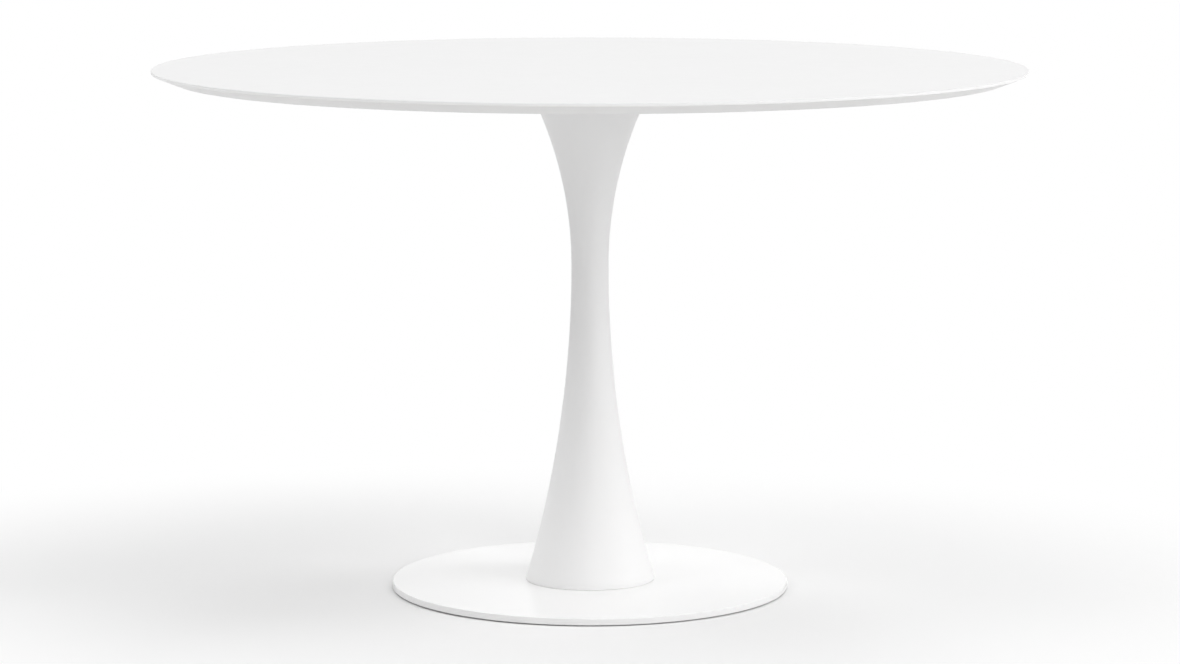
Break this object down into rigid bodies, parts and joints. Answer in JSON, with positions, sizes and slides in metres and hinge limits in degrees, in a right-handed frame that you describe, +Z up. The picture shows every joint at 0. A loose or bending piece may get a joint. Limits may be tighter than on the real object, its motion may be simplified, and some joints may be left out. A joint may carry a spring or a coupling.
{
  "type": "round pedestal table",
  "caption": "Round dining table: thin bevelled top on a single waisted column that stands on a flat disc base.",
  "frame": {"origin": "on the floor, on the axis of the column: the centre of the underside of the glides", "axes": "+Z up along the column's axis, +X along one arm of the mounting spider, +Y completes the frame; the outside is round, so +X and +Y have no front or side to point at"},
  "size_m": [1.219, 1.2192, 0.7366],
  "materials": {
    "white_board_lacquer": "gloss white polyurethane lacquer on fibreboard",
    "white_steel_lacquer": "gloss white baked lacquer on steel",
    "white_casting": "satin white powder coat on cast aluminium",
    "zinc_steel": "bright zinc-plated steel",
    "raw_steel": "bare mild steel with a light oil film",
    "zinc_insert": "plain brass",
    "white_gasket": "matte white silicone rubber",
    "glide_plastic": "black nylon, satin",
    "sleeve_plastic": "natural white nylon, satin"
  },
  "bodies": {
    "root": {"table_top": "white_board_lacquer", "top_inserts": "zinc_insert", "mounting_spider": "white_casting", "spider_washers": "zinc_steel", "spider_screws": "zinc_steel", "column_shell": "white_steel_lacquer", "head_ring": "white_steel_lacquer", "head_gasket": "white_gasket", "foot_ring": "white_steel_lacquer", "foot_gasket": "white_gasket", "core_tube": "raw_steel", "waist_sleeve": "sleeve_plastic", "foot_flange": "raw_steel", "tie_rod": "zinc_steel", "rod_top_nut": "zinc_steel", "rod_lock_washer": "zinc_steel", "rod_top_washer": "zinc_steel", "rod_bottom_washer": "zinc_steel", "rod_bottom_nut": "zinc_steel", "base_plate": "white_steel_lacquer", "base_screws": "zinc_steel", "base_glides": "glide_plastic"}
  },
  "joints": []
}
